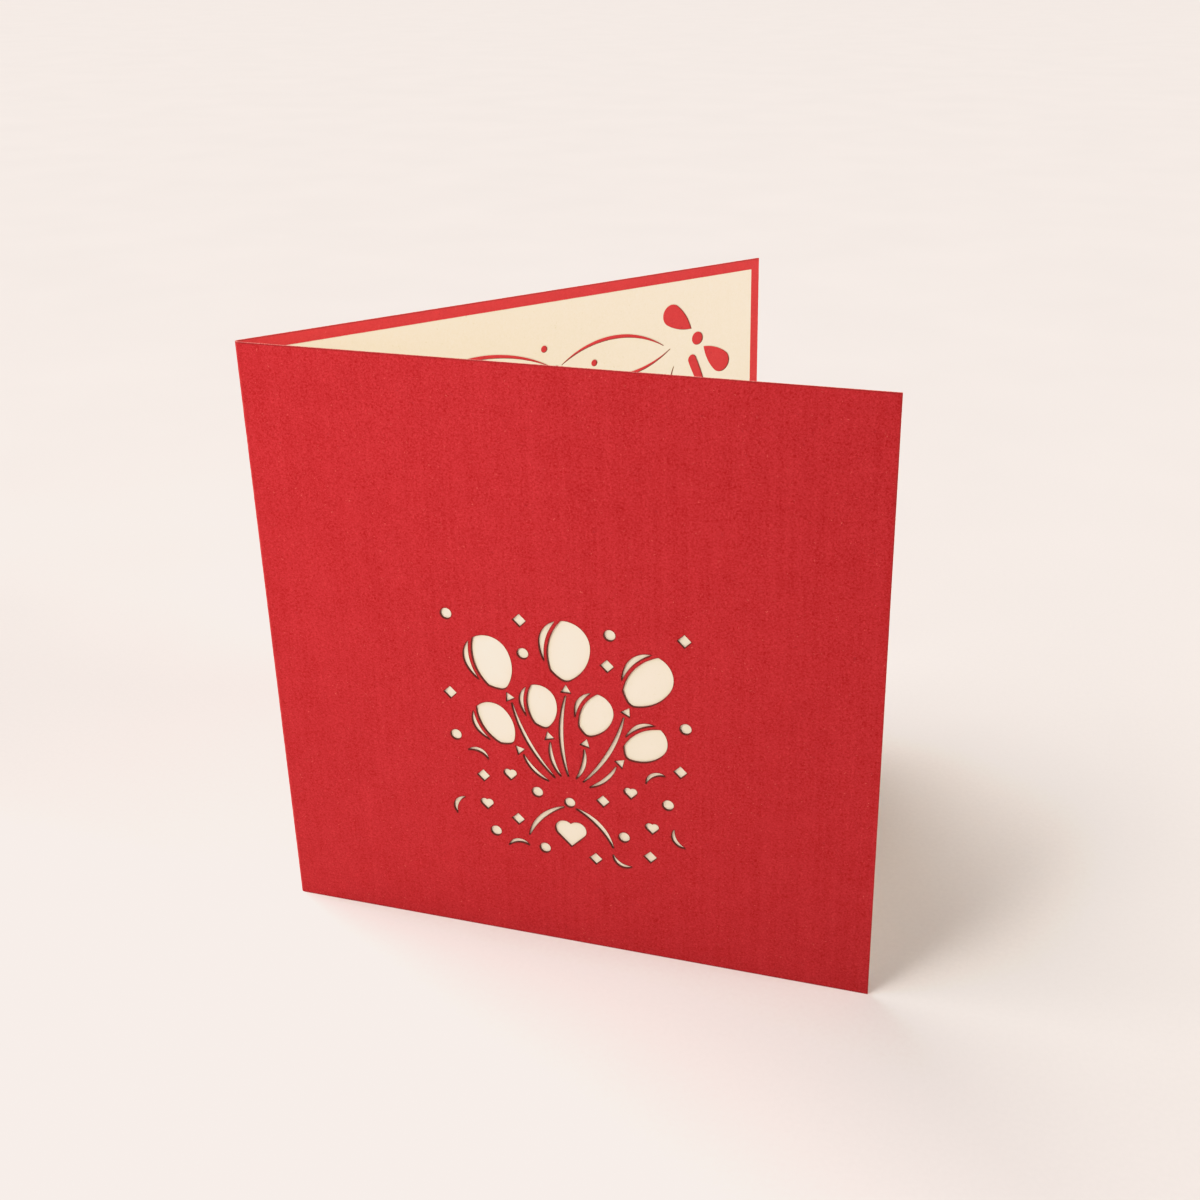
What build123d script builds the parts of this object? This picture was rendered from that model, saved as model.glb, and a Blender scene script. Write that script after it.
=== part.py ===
from build123d import *
from math import acos, atan2, cos, degrees, radians, sin, sqrt
import os

# Greeting card standing open on its bottom edges: a folded cover of red card with windows cut
# through its front panel, and a folded cream liner glued inside it.
# Millimetres. +Z is up, the front panel faces -Y, the fold is at the -X side, and the origin is on
# the ground at the middle of the card's footprint.

# The folded sheets
panel_width = 150.0
panel_height = 150.0
cover_thickness = 0.4
liner_thickness = 0.25
liner_margin = 2.9
fold_inside_radius = 0.4
opening_angle = 50.0

# The bunch of balloons, drawn from the tie that gathers its strings
tie_from_fold = 76.5
tie_from_bottom = 41.0
tie_radius = 1.3
string_gap_at_tie = 7.5
string_width = 0.95
string_slack = 0.05
knot_radius = 1.45
bridge_width = 0.95
# Each balloon: turn from upright in degrees, distance from the tie, crown radius
balloons = (
    (0.0, 42.5, 6.2),
    (28.0, 41.5, 5.8),
    (-28.5, 42.0, 5.9),
    (15.0, 27.5, 4.6),
    (-14.5, 27.0, 4.7),
    (44.0, 27.5, 4.9),
    (-44.5, 28.0, 4.8),
)

# The heart that weighs the bunch down, and the string ends beside it
heart_side = 4.6
heart_drop = 9.4
string_end_length = 13.0
string_end_width = 1.2
string_end_bow = 1.0
string_end_turns = (-44.0, 44.0)

# Confetti round the bunch, as offsets from the tie
dot_radius = 1.35
dots = (
    (-29.0, 47.0), (-10.3, 39.0), (-28.5, 14.5), (-8.2, 1.6), (-19.5, -11.5),
    (11.0, 46.5), (28.8, 24.8), (24.5, 3.5), (13.5, -7.5), (-6.8, -14.2),
)
diamond_side = 2.3
diamonds = (
    (-10.8, 47.5), (-29.3, 26.0), (-22.0, 4.0), (-13.5, -7.0), (10.2, 38.5),
    (28.5, 47.3), (27.5, 13.0), (8.4, 1.8), (20.0, -12.0), (6.2, -15.0),
)
small_heart_side = 1.9
small_hearts = ((-15.0, 5.2), (15.3, 5.0), (-21.5, -4.2), (20.5, -4.0))
curl_length = 5.2
curl_width = 1.0
curl_bow = 0.8
# Each curl: offset from the tie, then its turn in degrees
curls = (
    (-28.4, -5.5, 65.0), (-23.0, 9.8, -20.0), (27.3, -5.5, 120.0), (21.5, 10.0, 30.0),
    (-13.6, -14.6, 10.0), (13.0, -14.3, 150.0),
)

# The floral ornament cut in the liner, drawn from the eye of its blossom near the free top corner
blossom_from_free_edge = 21.6
blossom_from_top = 19.95
blossom_eye_radius = 1.9
# Each petal, the stem last: offset of its point, length, head and flank radii, turn in degrees
petals = (
    (-2.0, 3.05, 11.1, 3.1, 14.0, 54.0),
    (2.1, -2.65, 11.1, 3.1, 14.0, -131.5),
    (4.0, -19.45, 16.2, 1.45, 60.0, 23.0),
)
leaf_line_width = 1.05
leaf_split = 1.15
# Each leaf: offset of its first line's start, length, bow, lag of its second line, turn in degrees
leaves = (
    (-9.4, -1.5, 32.3, 4.5, 2.2, 180.0),
    (-89.1, 0.05, 41.3, 5.0, -2.2, 0.0),
    (-3.8, -32.55, 26.0, 3.4, -4.2, 99.5),
)
berry_radius = 0.95
berries = ((-49.0, 4.9), (-33.9, -1.4), (-45.6, -1.05))

# Places that follow from the sizes
liner_fold_radius = fold_inside_radius + liner_thickness
fold_radius = liner_fold_radius + cover_thickness
footprint_depth = (
    fold_radius
    + fold_radius * cos(radians(opening_angle))
    + (panel_width - fold_radius) * sin(radians(opening_angle))
)
fold_crest_x = -panel_width / 2
front_face_y = -footprint_depth / 2
fold_axis_x = fold_crest_x + fold_radius
fold_axis_y = front_face_y + fold_radius

# Working planes: both have their origin at the fold's crest and the foot of the card
front_panel = Plane(origin=(fold_crest_x, front_face_y, 0), x_dir=(1, 0, 0), z_dir=(0, -1, 0))
back_run = Vector(cos(radians(opening_angle)), sin(radians(opening_angle)), 0)
back_inward = Vector(sin(radians(opening_angle)), -cos(radians(opening_angle)), 0)
back_panel = Plane(
    origin=Vector(fold_axis_x, fold_axis_y, 0)
    - back_inward * fold_inside_radius
    - back_run * fold_radius,
    x_dir=back_run,
    z_dir=back_inward,
)


def folded_sheet(outer_radius, thickness, reach):
    """Section of a sheet bent round the fold's axis; reach runs from the crest to the free edges."""
    flat = reach - fold_radius
    with BuildSketch() as section:
        with BuildLine():
            front = Line(
                (fold_axis_x + flat, fold_axis_y - outer_radius),
                (fold_axis_x, fold_axis_y - outer_radius),
            )
            bend = JernArc(front @ 1, front % 1, outer_radius, opening_angle - 180)
            PolarLine(bend @ 1, flat, direction=bend % 1)
            offset(amount=thickness, side=Side.RIGHT)
        make_face()
    return section.sketch


def tapered_slot(start, end, bow, width):
    """Slot that is pointed at both ends and bows to the left of its run."""
    with BuildSketch() as slot:
        with BuildLine():
            SagittaArc(start, end, bow)
            SagittaArc(start, end, bow + width)
        make_face()
    return slot.sketch


def teardrop(length, head_radius, flank_radius):
    """Drop lying along +Y from its point at the origin; its full flanks run tangent into its head."""
    head_y = length - head_radius
    flank_y = (2 * flank_radius * head_radius - head_radius**2 + head_y**2) / (2 * head_y)
    flank_x = sqrt(flank_radius**2 - flank_y**2)
    at_point = degrees(atan2(-flank_y, flank_x))
    at_head = degrees(atan2(head_y - flank_y, flank_x))
    flank_sweep = at_head - at_point
    with BuildSketch() as drop:
        with BuildLine():
            CenterArc((-flank_x, flank_y), flank_radius, at_point, flank_sweep)
            CenterArc((0, head_y), head_radius, at_head, 180 - 2 * at_head)
            CenterArc((flank_x, flank_y), flank_radius, 180 - at_head, flank_sweep)
        make_face()
    return drop.sketch


def heart(side):
    """Upright heart: a square stood on its corner with a half round on each upper side."""
    lobe_offset = side / sqrt(8)
    with BuildSketch() as outline:
        Rectangle(side, side, rotation=45)
        with Locations((-lobe_offset, lobe_offset), (lobe_offset, lobe_offset)):
            Circle(side / 2)
    return outline.sketch


def balloon_on_string(reach, crown_radius, leans_left):
    """Balloon, knot and string, upright over the tie at the origin."""
    # An egg outline: crown, two slack sides and a small rounded neck, all tangent
    side_radius = 1.7 * crown_radius
    neck_radius = 0.35 * crown_radius
    side_offset = side_radius - crown_radius
    side_sweep = degrees(acos(side_offset / (side_radius - neck_radius)))
    neck_drop = sqrt((side_radius - neck_radius) ** 2 - side_offset**2)
    neck_y = reach - neck_drop
    knot_y = neck_y - neck_radius - bridge_width - knot_radius
    string_top_y = knot_y - knot_radius / 2 - bridge_width
    with BuildSketch() as balloon:
        with BuildLine():
            CenterArc((0, reach), crown_radius, 0, 180)
            CenterArc((side_offset, reach), side_radius, 180, side_sweep)
            CenterArc((0, neck_y), neck_radius, 180 + side_sweep, 180 - 2 * side_sweep)
            CenterArc((-side_offset, reach), side_radius, -side_sweep, side_sweep)
        make_face()
        # A strip of card stays across the window as a long highlight, held at both ends
        with BuildLine():
            SagittaArc(
                (-0.66 * crown_radius, reach - 1.12 * crown_radius),
                (-0.15 * crown_radius, reach + 1.05 * crown_radius),
                0.3 * crown_radius,
            )
        trace(line_width=bridge_width, mode=Mode.SUBTRACT)
        with Locations((0, knot_y)):
            RegularPolygon(knot_radius, 3, rotation=90)
        string_ends = [(0, string_gap_at_tie), (0, string_top_y)]
        if not leans_left:
            string_ends.reverse()
        bow = string_slack * (string_top_y - string_gap_at_tie)
        add(tapered_slot(*string_ends, bow, string_width))
    return balloon.sketch


# Cover: the red card, bent at the fold, with its windows cut through the front panel
with BuildPart() as cover:
    with BuildSketch():
        add(folded_sheet(fold_radius, cover_thickness, panel_width))
    extrude(amount=panel_height)
    with BuildSketch(front_panel) as windows:
        for turn, reach, crown_radius in balloons:
            with Locations(Location((tie_from_fold, tie_from_bottom, 0), (0, 0, turn))):
                add(balloon_on_string(reach, crown_radius, turn >= 0))
        with Locations((tie_from_fold, tie_from_bottom)):
            Circle(tie_radius)
        with Locations((tie_from_fold, tie_from_bottom - heart_drop)):
            add(heart(heart_side))
        for turn in string_end_turns:
            string_end = [(0, 0), (0, -string_end_length)]
            if turn < 0:
                string_end.reverse()
            with Locations(Location((tie_from_fold, tie_from_bottom, 0), (0, 0, turn))):
                with Locations((0, -tie_radius - bridge_width)):
                    add(tapered_slot(*string_end, string_end_bow, string_end_width))
        with Locations(*[(tie_from_fold + x, tie_from_bottom + z) for x, z in dots]):
            Circle(dot_radius)
        with Locations(*[(tie_from_fold + x, tie_from_bottom + z) for x, z in diamonds]):
            Rectangle(diamond_side, diamond_side, rotation=45)
        with Locations(*[(tie_from_fold + x, tie_from_bottom + z) for x, z in small_hearts]):
            add(heart(small_heart_side))
        for x, z, turn in curls:
            with Locations(Location((tie_from_fold + x, tie_from_bottom + z, 0), (0, 0, turn))):
                add(
                    tapered_slot(
                        (-curl_length / 2, 0), (curl_length / 2, 0), curl_bow, curl_width
                    )
                )
    extrude(amount=-2 * cover_thickness, mode=Mode.SUBTRACT)
cover.part.label = "cover"

# Liner: the cream sheet inside, bent round the same axis, with the ornament in its back panel
with BuildPart() as liner:
    with BuildSketch(Plane.XY.offset(liner_margin)):
        add(folded_sheet(liner_fold_radius, liner_thickness, panel_width - liner_margin))
    extrude(amount=panel_height - 2 * liner_margin)
    blossom_x = panel_width - blossom_from_free_edge
    blossom_z = panel_height - blossom_from_top
    with BuildSketch(back_panel) as ornament:
        with Locations((blossom_x, blossom_z)):
            Circle(blossom_eye_radius)
        for x, z, length, head_radius, flank_radius, turn in petals:
            with Locations(Location((blossom_x + x, blossom_z + z, 0), (0, 0, turn))):
                add(teardrop(length, head_radius, flank_radius))
        for x, z, length, bow, lag, turn in leaves:
            with Locations(Location((blossom_x + x, blossom_z + z, 0), (0, 0, turn))):
                add(tapered_slot((0, 0), (length, 0), bow, leaf_line_width))
                add(
                    tapered_slot(
                        (length + lag, -leaf_split), (lag, -leaf_split), bow, leaf_line_width
                    )
                )
        with Locations(*[(blossom_x + x, blossom_z + z) for x, z in berries]):
            Circle(berry_radius)
    extrude(amount=-2 * liner_thickness, mode=Mode.SUBTRACT)
liner.part.label = "liner"

os.makedirs("parts", exist_ok=True)
export_step(cover.part, "parts/cover.step")
export_step(liner.part, "parts/liner.step")
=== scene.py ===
"""Greeting card standing open: red cover and cream liner with laser-cut windows, in a soft studio."""

from math import acos, atan2, ceil, copysign, cos, pi, radians, sin, sqrt

import bmesh
import bpy
from mathutils import Matrix, Quaternion, Vector
from mathutils.kdtree import KDTree


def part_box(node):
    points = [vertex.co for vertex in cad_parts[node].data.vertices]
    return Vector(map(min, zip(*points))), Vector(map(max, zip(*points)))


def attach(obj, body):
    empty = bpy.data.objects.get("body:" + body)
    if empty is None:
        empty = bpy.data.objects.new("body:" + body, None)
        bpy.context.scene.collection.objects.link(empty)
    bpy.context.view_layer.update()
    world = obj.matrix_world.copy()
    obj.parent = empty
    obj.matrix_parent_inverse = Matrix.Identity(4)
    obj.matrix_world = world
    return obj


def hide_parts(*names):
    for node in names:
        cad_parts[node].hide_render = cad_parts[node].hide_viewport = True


bl_info = {
    "name": "Laser-cut greeting card",
    "version": (1, 0, 0),
    "blender": (4, 5, 0),
    "location": "3D View > Sidebar > Card",
    "description": "Builds the folded cover, its liner and a studio round them",
    "category": "Add Mesh",
}

# Cut lines are drawn flat in millimetres and brought to metres when the sheet is put in its place
MM = 0.001

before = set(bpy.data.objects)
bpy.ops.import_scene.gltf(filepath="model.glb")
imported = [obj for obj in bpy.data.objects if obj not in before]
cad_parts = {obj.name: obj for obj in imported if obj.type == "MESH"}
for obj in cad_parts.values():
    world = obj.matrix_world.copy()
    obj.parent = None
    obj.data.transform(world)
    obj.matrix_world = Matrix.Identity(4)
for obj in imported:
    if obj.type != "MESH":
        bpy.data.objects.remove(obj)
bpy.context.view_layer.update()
cover_low, cover_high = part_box("cover")
liner_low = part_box("liner")[0]

# Artwork in the front panel, in millimetres from the tie that gathers the balloons' strings
TIE = (76.5, 41.0)
TIE_RADIUS = 1.3
STRING_GAP = 7.5
STRING_WIDTH = 0.95
STRING_SLACK = 0.05
KNOT_RADIUS = 1.45
BRIDGE = 0.95
# Each balloon: turn from upright in degrees, distance from the tie, crown radius
BALLOONS = (
    (0.0, 42.5, 6.2),
    (28.0, 41.5, 5.8),
    (-28.5, 42.0, 5.9),
    (15.0, 27.5, 4.6),
    (-14.5, 27.0, 4.7),
    (44.0, 27.5, 4.9),
    (-44.5, 28.0, 4.8),
)
HEART_SIDE = 4.6
HEART_DROP = 9.4
STRING_END_LENGTH = 13.0
STRING_END_WIDTH = 1.2
STRING_END_BOW = 1.0
STRING_END_TURNS = (-44.0, 44.0)
DOT_RADIUS = 1.35
DOTS = (
    (-29.0, 47.0), (-10.3, 39.0), (-28.5, 14.5), (-8.2, 1.6), (-19.5, -11.5),
    (11.0, 46.5), (28.8, 24.8), (24.5, 3.5), (13.5, -7.5), (-6.8, -14.2),
)
DIAMOND_SIDE = 2.3
DIAMONDS = (
    (-10.8, 47.5), (-29.3, 26.0), (-22.0, 4.0), (-13.5, -7.0), (10.2, 38.5),
    (28.5, 47.3), (27.5, 13.0), (8.4, 1.8), (20.0, -12.0), (6.2, -15.0),
)
SMALL_HEART_SIDE = 1.9
SMALL_HEARTS = ((-15.0, 5.2), (15.3, 5.0), (-21.5, -4.2), (20.5, -4.0))
CURL_LENGTH = 5.2
CURL_WIDTH = 1.0
CURL_BOW = 0.8
# Each curl: offset, then its turn in degrees
CURLS = (
    (-28.4, -5.5, 65.0), (-23.0, 9.8, -20.0), (27.3, -5.5, 120.0), (21.5, 10.0, 30.0),
    (-13.6, -14.6, 10.0), (13.0, -14.3, 150.0),
)

# Ornament in the liner's back panel, in millimetres from the eye of its blossom
BLOSSOM_FROM_FREE_EDGE = 21.6
BLOSSOM_FROM_TOP = 19.95
BLOSSOM_EYE_RADIUS = 1.9
# Each petal, the stem last: offset of its point, length, head and flank radii, turn in degrees
PETALS = (
    (-2.0, 3.05, 11.1, 3.1, 14.0, 54.0),
    (2.1, -2.65, 11.1, 3.1, 14.0, -131.5),
    (4.0, -19.45, 16.2, 1.45, 60.0, 23.0),
)
LEAF_LINE_WIDTH = 1.05
LEAF_SPLIT = 1.15
# Each leaf: offset of its first line's start, length, bow, lag of its second line, turn in degrees
LEAVES = (
    (-9.4, -1.5, 32.3, 4.5, 2.2, 180.0),
    (-89.1, 0.05, 41.3, 5.0, -2.2, 0.0),
    (-3.8, -32.55, 26.0, 3.4, -4.2, 99.5),
)
BERRY_RADIUS = 0.95
BERRIES = ((-49.0, 4.9), (-33.9, -1.4), (-45.6, -1.05))

# Material slots of each sheet
FACE, CUT_EDGE, WINDOW_WALL = 0, 1, 2

# Working sizes of the flat sheets, in millimetres
EDGE_BAND = 0.45
NARROWEST_RIM = 0.05
# A rim's edge belongs to its own spot if none is nearer than this share of its width
OWN_SPOT = 0.999
# What is left of a rim's width at each step back
STEP_BACK = 0.85
TOUCHING = 0.001
FILL_ERROR = 0.5

# Between these a noise texture mostly stays
NOISE = (0.3, 0.7)
# Shares of cloud, felt and laid lines in a sheet's tone, of stray fibres, and of the rubbed fold
CLOUD_SHARE, FELT_SHARE, LINE_SHARE = 0.12, 0.78, 0.10
PALE_FIBRE_SHARE, DARK_FIBRE_SHARE = 0.5, 0.4
RUBBED_SHARE = 0.6

# Broad lamps: name, setting of its strength, azimuth from +X, elevation and width in degrees
BROAD_LAMPS = (
    ("window_light", "window_strength", 218, 47, 36),
    ("back_light", "back_strength", 163, 45, 48),
    ("right_light", "right_strength", 0, 9, 18),
)
# Softbox: place and width in metres, azimuth and elevation in degrees
SOFTBOX_SPOT = (-0.10, -0.27, 0.18)
SOFTBOX_WIDTH = 0.12
SOFTBOX_AZIMUTH, SOFTBOX_ELEVATION = 245, 24

# Floor: half its side in metres, and how dark its darker patches are
FLOOR_REACH = 30.0
FLOOR_PATCHES = 0.955
# Brightness of the backdrop in view, and where the roll-off to white sets in
BACKDROP_STRENGTH = 1.2
SHOULDER = 0.85

# Camera: a point on the front panel along and up, then angles in degrees, distance, lens and shift
VIEW_ALONG, VIEW_UP = 0.02909, 0.12689
VIEW_AZIMUTH, VIEW_ELEVATION, VIEW_ROLL = 15.084, 21.326, -0.149
VIEW_DISTANCE = 0.29452
LENS, SENSOR_WIDTH = 41.527, 36.0
SHIFT_X, SHIFT_Y = -0.0667, -0.1


def length(name, description, default):
    return bpy.props.FloatProperty(
        name=name, description=description, default=default, min=0.0, precision=5, unit="LENGTH"
    )


def colour(name, description, default):
    return bpy.props.FloatVectorProperty(
        name=name, description=description, default=default, size=4, min=0.0, max=1.0, subtype="COLOR"
    )


def direction(name, description, default):
    return bpy.props.FloatProperty(name=name, description=description, default=default, subtype="ANGLE")


def share(name, description, default):
    return bpy.props.FloatProperty(
        name=name, description=description, default=default, min=0.0, max=1.0, subtype="FACTOR"
    )


def brightness(name, description, default):
    return bpy.props.FloatProperty(name=name, description=description, default=default, min=0.0)


class CardSizes(bpy.types.PropertyGroup):
    panel_width: length(
        "Panel width", "From the crest of the fold to a free edge", cover_high.x - cover_low.x
    )
    panel_height: length("Panel height", "Height of the cover", cover_high.z - cover_low.z)
    liner_margin: length(
        "Liner margin", "Border of cover left round the liner", liner_low.z - cover_low.z
    )
    cover_thickness: length("Cover thickness", "Thickness of the red card", 0.0004)
    liner_thickness: length("Liner thickness", "Thickness of the cream paper", 0.00025)
    fold_inside_radius: length("Fold radius", "Radius inside the liner's fold", 0.0004)
    opening_angle: bpy.props.FloatProperty(
        name="Opening", description="Angle between the two panels", default=radians(50), subtype="ANGLE"
    )
    fold_steps: bpy.props.IntProperty(
        name="Fold steps", description="Facets round the fold", default=16, min=4
    )


class LaserCut(bpy.types.PropertyGroup):
    kerf: length("Kerf", "Width of the laser's cut, seen where a slot comes to its point", 0.00025)
    # Rims round the cuts hold laser browning all round and painted shade on one side.
    rim_width: length("Scorch width", "How far the browned rim reaches from a window", 0.0004)
    chord_error: length("Chord error", "Most that a facet may leave the true curve", 0.000005)
    # The shading ways set the side of each cut that takes painted shade: lower left in the cover, upper
    # right in the liner. The hazes set the browning all round.
    cover_shading: direction("Cover draught", "Way the smoke is drawn across the cover", radians(232))
    liner_shading: direction("Liner draught", "Way the smoke is drawn across the liner", radians(52))
    cover_haze: share("Cover haze", "Scorch on the sheltered side of a cut in the cover", 0.4)
    liner_haze: share("Liner haze", "Scorch on the sheltered side of a cut in the liner", 0.12)
    cover_lean: length("Cover lean", "How far the cover's cuts narrow through its thickness", 0.0)
    liner_lean: length("Liner lean", "How far the liner's cuts narrow through its thickness", 0.00006)


class CoverFinish(bpy.types.PropertyGroup):
    red: colour("Red", "Main colour of the card, outside", (0.585, 0.029, 0.037, 1.0))
    deep_red: colour("Deep red", "Darker fibres of the card", (0.36, 0.001, 0.002, 1.0))
    # Painted light: the inner face is a brighter red than the outside, standing in for the light it
    # gets.
    lit_inside_red: colour("Inside red", "Smoother inner face of the card", (0.62, 0.042, 0.043, 1.0))
    pale_fibre: colour("Pale fibre", "Stray pale fibres in the card", (0.78, 0.16, 0.13, 1.0))
    dark_fibre: colour("Dark fibre", "Stray dark fibres in the card", (0.24, 0.008, 0.014, 1.0))
    core: colour("Core", "Core of the card, where it was trimmed or rubbed", (0.82, 0.31, 0.25, 1.0))
    scorched: colour("Scorched wall", "Window's wall, browned by the laser", (0.085, 0.012, 0.006, 1.0))
    # Rim darkness covers laser browning and painted shade.
    rim_scorch_and_shade: share("Rim scorch", "How dark the rim of a window is", 0.92)
    edge_singe: share("Edge singe", "How dark the outer edges are beside the laser's cut", 0.45)


class LinerFinish(bpy.types.PropertyGroup):
    cream: colour("Cream", "Main colour of the paper", (0.93, 0.800, 0.628, 1.0))
    warm_cream: colour("Warm cream", "Denser parts of the paper", (0.88, 0.742, 0.560, 1.0))
    pale_fibre: colour("Pale fibre", "Stray pale fibres in the paper", (0.95, 0.86, 0.72, 1.0))
    dark_fibre: colour("Dark fibre", "Stray dark fibres in the paper", (0.62, 0.45, 0.28, 1.0))
    core: colour("Core", "Core of the paper, where it was trimmed or rubbed", (0.90, 0.80, 0.66, 1.0))
    scorched: colour("Scorched wall", "Window's wall, browned by the laser", (0.15, 0.026, 0.012, 1.0))
    # Rim darkness covers laser browning and painted shade.
    rim_scorch_and_shade: share("Rim scorch", "How dark the rim of a window is", 0.18)
    edge_singe: share("Edge singe", "How dark the outer edges are beside the laser's cut", 0.04)


class StudioLight(bpy.types.PropertyGroup):
    floor: colour("Floor", "Warm white of the seamless floor", (0.94, 0.88, 0.848, 1.0))
    white: colour("White", "Where the picture's brightest tones level off", (0.93, 0.857, 0.816, 1.0))
    light: colour("Light", "Colour of the lamps", (1.0, 0.97, 0.94, 1.0))
    sky_strength: brightness("Sky", "Light from all round, off unless it is wanted", 0.0)
    window_strength: brightness("Window", "Broad light from the left and in front", 1.43)
    back_strength: brightness("Back", "Broad light from the left and behind", 2.98)
    right_strength: brightness("Right", "Low light into the open card", 2.75)
    near_power: brightness("Near", "Small softbox close by in front, in watts", 0.29)


def edges_at(verts):
    """The edges that meet at the vertices, in an order that is the same on each run."""
    return list(dict.fromkeys(edge for vert in verts for edge in vert.link_edges))


class LaserPath:
    """Draws the laser's cut lines as flat wire: millimetres along the sheet and up from its foot."""

    def __init__(self, bm, laser):
        self.bm = bm
        self.kerf = laser.kerf / MM
        self.chord_error = laser.chord_error / MM

    def place(self, draw, at, turn, *sizes):
        """Draws a shape upright at the origin, then turns it and moves it to its place."""
        before = set(self.bm.verts)
        draw(*sizes)
        drawn = [v for v in self.bm.verts if v not in before]
        spot = Matrix.Translation((*at, 0)) @ Matrix.Rotation(radians(turn), 4, "Z")
        bmesh.ops.transform(self.bm, matrix=spot, verts=drawn)

    def steps(self, radius, sweep):
        return max(4, ceil(abs(sweep) / (2 * acos(1 - self.chord_error / radius))))

    def line(self, start, end):
        self.bm.edges.new([self.bm.verts.new((*p[:2], 0)) for p in (start, end)])

    def swing(self, start, centre, sweep):
        """Swings a point round a centre."""
        start, centre = Vector((*start[:2], 0)), Vector((*centre[:2], 0))
        bmesh.ops.spin(
            self.bm,
            geom=[self.bm.verts.new(start)],
            cent=centre,
            axis=(0, 0, 1),
            angle=sweep,
            steps=self.steps((start - centre).length, sweep),
        )

    def arc_centre(self, start, end, bow):
        """Centre and signed radius of an arc that swells by bow to the left of its run."""
        start, end = Vector((*start[:2], 0)), Vector((*end[:2], 0))
        chord = end - start
        left = Vector((-chord.y, chord.x, 0)).normalized()
        radius = (chord.length_squared / 4 + bow**2) / (2 * bow)
        return (start + end) / 2 - left * (radius - bow), radius

    def arc(self, start, end, bow):
        centre, radius = self.arc_centre(start, end, bow)
        chord = (Vector(end[:2]) - Vector(start[:2])).length
        self.swing(start, centre, -4 * atan2(2 * bow, chord))

    def circle(self, radius):
        bmesh.ops.create_circle(self.bm, segments=self.steps(radius, 2 * pi), radius=radius)

    def polygon(self, corners, radius):
        bmesh.ops.create_circle(self.bm, segments=corners, radius=radius)

    def slot(self, start, end, bow, width):
        """Slot that bows to the left of its run and narrows to the kerf at both ends."""
        start, end = Vector((*start, 0)), Vector((*end, 0))
        run = (end - start).normalized()
        kerf = Vector((-run.y, run.x, 0)) * self.kerf
        self.arc(start, end, bow)
        self.swing(end, end + kerf / 2, pi)
        self.arc(end + kerf, start + kerf, self.kerf - bow - width)
        self.swing(start + kerf, start + kerf / 2, pi)

    def heart(self, side):
        """A square on its corner with a half round on each upper side."""
        corner = side / sqrt(2)
        lobe = corner / 2
        self.line((0, -corner), (corner, 0))
        self.swing((corner, 0), (lobe, lobe), pi)
        self.swing((0, corner), (-lobe, lobe), pi)
        self.line((-corner, 0), (0, -corner))

    def teardrop(self, reach, head, flank):
        """Drop along +Y from its point, with full flanks that run tangent into its head."""
        head_y = reach - head
        flank_y = (2 * flank * head - head**2 + head_y**2) / (2 * head_y)
        flank_x = sqrt(flank**2 - flank_y**2)
        at_point = atan2(-flank_y, flank_x)
        at_head = atan2(head_y - flank_y, flank_x)
        side = Vector((cos(at_head), sin(at_head)))
        mirrored = Vector((-side.x, side.y))
        self.swing((0, 0), (-flank_x, flank_y), at_head - at_point)
        self.swing(Vector((0, head_y)) + side * head, (0, head_y), pi - 2 * at_head)
        self.swing(Vector((0, head_y)) + mirrored * head, (flank_x, flank_y), at_head - at_point)

    def leave_strip(self, outline, start, end, bow, width):
        """Parts a closed outline where an arched strip of card stays across it."""
        centre, radius = self.arc_centre(start, end, bow)
        crossings = []
        for ring in (radius - width / 2, radius + width / 2):
            crossed = []
            for edge in edges_at(outline):
                near, far = [(v.co - centre).length - ring for v in edge.verts]
                if near * far < 0:
                    crossed.append((edge, edge.verts[0], near / (near - far)))
            ends = [bmesh.utils.edge_split(edge, vert, part)[1] for edge, vert, part in crossed]
            if len(ends) != 2:
                raise RuntimeError("a balloon's highlight does not cross its outline twice")
            outline = outline + ends
            crossings.append(ends)
        inside = []
        for edge in edges_at(outline):
            middle = (edge.verts[0].co + edge.verts[1].co) / 2
            if abs((middle - centre).length - radius) < width / 2:
                inside.append(edge)
        bmesh.ops.delete(self.bm, geom=inside, context="EDGES")
        for first, last in crossings:
            a, b = first.co - centre, last.co - centre
            self.swing(first.co, centre, atan2(a.x * b.y - a.y * b.x, a.dot(b)))

    def balloon(self, reach, crown, leans_left):
        """Balloon with its highlight, knot and string, upright over the tie at the origin."""
        side, neck = 1.7 * crown, 0.35 * crown
        side_offset = side - crown
        side_sweep = acos(side_offset / (side - neck))
        neck_y = reach - sqrt((side - neck) ** 2 - side_offset**2)
        knot_y = neck_y - neck - BRIDGE - KNOT_RADIUS
        string_top = knot_y - KNOT_RADIUS / 2 - BRIDGE
        before = set(self.bm.verts)
        self.swing((crown, reach), (0, reach), pi)
        self.swing((-crown, reach), (side_offset, reach), side_sweep)
        toe = Vector((-cos(side_sweep), -sin(side_sweep)))
        self.swing(Vector((0, neck_y)) + toe * neck, (0, neck_y), pi - 2 * side_sweep)
        toe.x = -toe.x
        self.swing(Vector((-side_offset, reach)) + toe * side, (-side_offset, reach), side_sweep)
        outline = [v for v in self.bm.verts if v not in before]
        bmesh.ops.remove_doubles(self.bm, verts=outline, dist=self.chord_error)
        outline = [v for v in self.bm.verts if v not in before]
        foot = (-0.66 * crown, reach - 1.12 * crown)
        head = (-0.15 * crown, reach + 1.05 * crown)
        self.leave_strip(outline, foot, head, 0.3 * crown, BRIDGE)
        self.place(self.polygon, (0, knot_y), 0, 3, KNOT_RADIUS)
        string = [(0, STRING_GAP), (0, string_top)]
        if not leans_left:
            string.reverse()
        self.slot(*string, STRING_SLACK * (string_top - STRING_GAP), STRING_WIDTH)

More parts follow.
